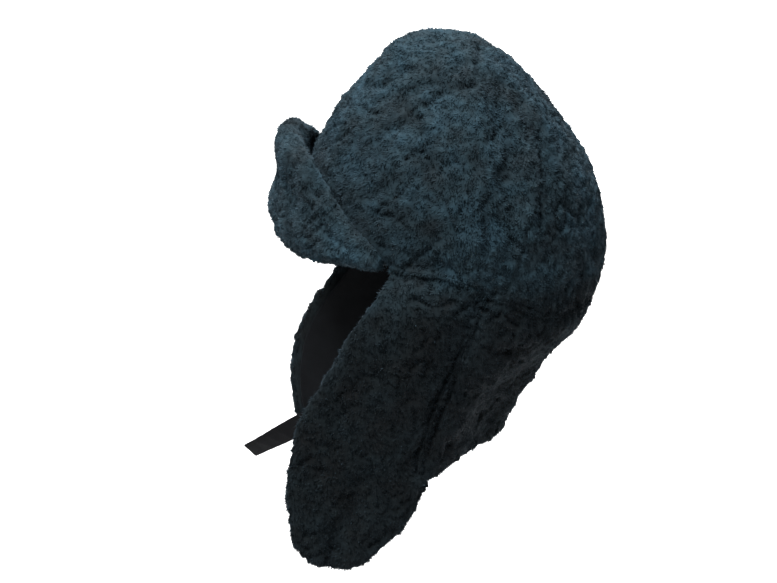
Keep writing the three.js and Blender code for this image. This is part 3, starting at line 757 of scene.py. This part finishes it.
CROWN_PILES = [("crown_pile_left", 44000, 1), ("crown_pile_right", 33000, -1)]
fur_piece("crown", crown_fur, piles=CROWN_PILES)
fur_piece("front_flap", front_flap_fur, piles=[("front_flap_pile", 31000, 0)])
fur_piece("neck_flap", neck_fur, piles=[("neck_flap_pile", 29000, 0)])
for side in ("left", "right"):
    flap = f"ear_flap_{side}"
    fur_piece(flap, ear_fur(side), piles=[(flap + "_pile", 25000, 0)])


# Lining and tape

CLOTH_LEVELS = 2                # of subdivision
TAPE_VOXEL = 0.0007
CLOTH_ROUNDS = 2                # of smoothing
CLOTH_WAVE = 0.0003             # height of the unevenness
CLOTH_WAVE_SIZE = 0.018
CLOTH_WAVE_SEED = 51


def cloth_piece(node, material, voxel=None):
    """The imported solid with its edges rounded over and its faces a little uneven."""
    piece = copy_of([node], node + "_cloth")
    if voxel:
        remesh(piece, voxel, CLOTH_ROUNDS)
    else:
        piece.modifiers.new("finer", "SUBSURF").levels = CLOTH_LEVELS
        keep_modified(piece)
    co, normal = coordinates(piece.data), normals(piece.data)
    wave = CLOTH_WAVE * noise_at(co, CLOTH_WAVE_SIZE, CLOTH_WAVE_SEED)
    move_to(piece, co + normal * wave[:, None])
    piece.data.materials.append(material)
    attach(piece, "root")
    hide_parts(node)
    return piece


LINING_AREAS = {"left": 0.01429, "right": 0.01510}      # in square metres, of one face

for side, area in LINING_AREAS.items():
    cloth_piece(f"ear_lining_{side}", lining_cloth)
tape = cloth_piece("tie_tape", tape_cloth, voxel=TAPE_VOXEL)


# Stage, light and camera

FLOOR_Z = -0.75
FLOOR_SIZE = 40.0
FLOOR_TINT = 0.92
WORLD_TINT = (0.90, 0.95, 1.0)
WORLD_STRENGTH = 0.15


def plane(name, size, z):
    half = size / 2
    mesh = bpy.data.meshes.new(name)
    corners = [(-half, -half, z), (half, -half, z), (half, half, z), (-half, half, z)]
    mesh.from_pydata(corners, [], [(0, 1, 2, 3)])
    return link(name, mesh)


floor = plane("floor", FLOOR_SIZE, FLOOR_Z)
floor_material, _, floor_shader = new_material("floor_paint", roughness=0.9)
floor_shader.inputs["Base Color"].default_value = (*grey(FLOOR_TINT), 1.0)
floor.data.materials.append(floor_material)


def light(name, kind, place, aim, power, **settings):
    data = bpy.data.lights.new(name, kind)
    data.energy = power
    for key, value in settings.items():
        setattr(data, key, value)
    lamp = bpy.data.objects.new(name, data)
    lamp.location = place
    lamp.rotation_euler = (Vector(aim) - Vector(place)).to_track_quat("-Z", "Y").to_euler()
    bpy.context.scene.collection.objects.link(lamp)


light("key", "SPOT", place=(1.55, -0.85, 2.95), aim=(0.0, -0.05, -0.05), power=765.0,
      spot_size=math.radians(22), spot_blend=0.5, shadow_soft_size=0.45)
light("floor_light", "AREA", place=(-2.4, 0.0, 2.6), aim=(-2.4, 0.0, 0.0), power=170.0,
      shape="RECTANGLE", size=3.0, size_y=3.0, spread=math.radians(100))

world = bpy.data.worlds.new("studio")
world.use_nodes = True
background = world.node_tree.nodes["Background"]
background.inputs["Color"].default_value = (*WORLD_TINT, 1.0)
background.inputs["Strength"].default_value = WORLD_STRENGTH
bpy.context.scene.world = world
bpy.context.scene.view_settings.view_transform = "Standard"

camera_data = bpy.data.cameras.new("camera")
camera_data.sensor_width = SENSOR
camera_data.lens = SENSOR * FOCAL_PIXELS / IMAGE_WIDTH
camera = bpy.data.objects.new("camera", camera_data)
direction = Vector((math.cos(CAMERA_ELEVATION), 0.0, math.sin(CAMERA_ELEVATION)))
camera.location = CAMERA_TARGET + direction * CAMERA_DISTANCE
camera.rotation_euler = (-direction).to_track_quat("-Z", "Y").to_euler()
bpy.context.scene.collection.objects.link(camera)
bpy.context.scene.camera = camera
